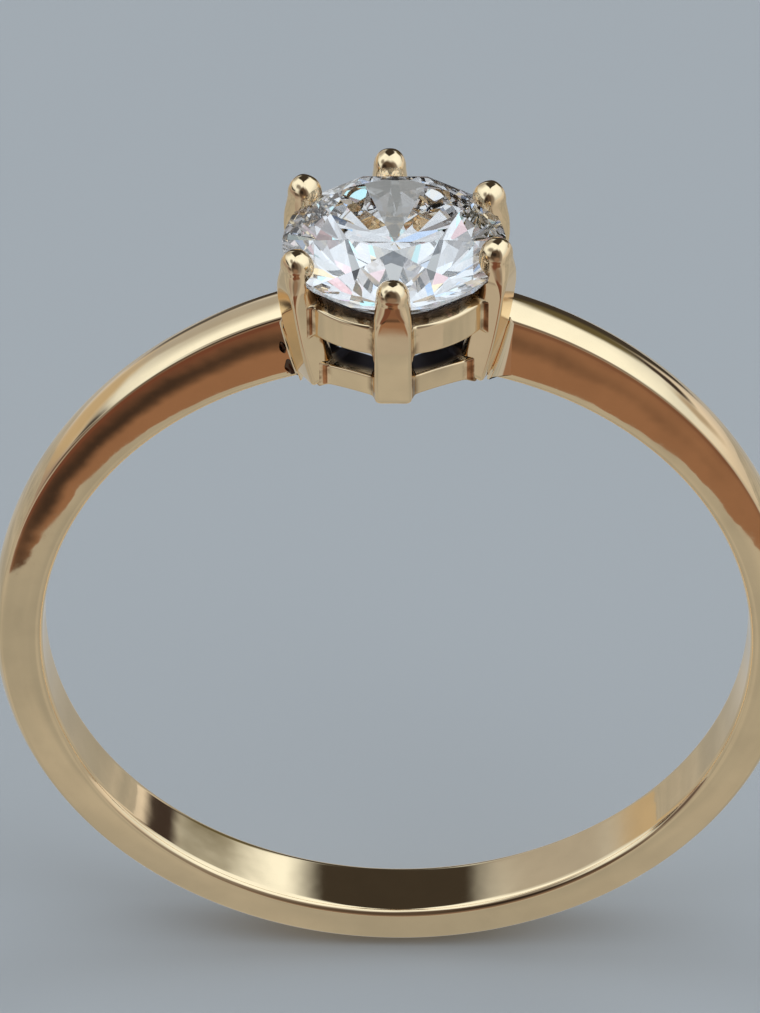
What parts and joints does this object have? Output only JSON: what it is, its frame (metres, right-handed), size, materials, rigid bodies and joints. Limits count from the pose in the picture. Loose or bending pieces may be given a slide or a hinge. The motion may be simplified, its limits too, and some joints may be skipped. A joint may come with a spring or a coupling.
{
  "type": "six-claw solitaire engagement ring",
  "caption": "Finger ring with a tapering domed band that thickens to the shoulders and a claw head with two gallery rails that holds one round brilliant stone.",
  "frame": {"origin": "centre of the finger hole, in the middle of the band's width", "axes": "+Z from the finger to the stone, +Y along the finger away from the front claw, +X to the right shoulder seen from the front claw"},
  "size_m": [0.0194, 0.0058, 0.022],
  "materials": {
    "gold": "mirror polished yellow rose gold",
    "solder": "polished gold solder, slightly paler than the band",
    "stone": "clear colourless diamond, facets polished"
  },
  "bodies": {
    "root": {"shank": "gold", "claw_front": "gold", "claw_front_right": "gold", "claw_back_right": "gold", "claw_back": "gold", "claw_back_left": "gold", "claw_front_left": "gold", "upper_gallery_rail": "gold", "lower_gallery_rail": "gold", "left_shoulder_solder": "solder", "right_shoulder_solder": "solder", "stone": "stone"}
  },
  "joints": []
}
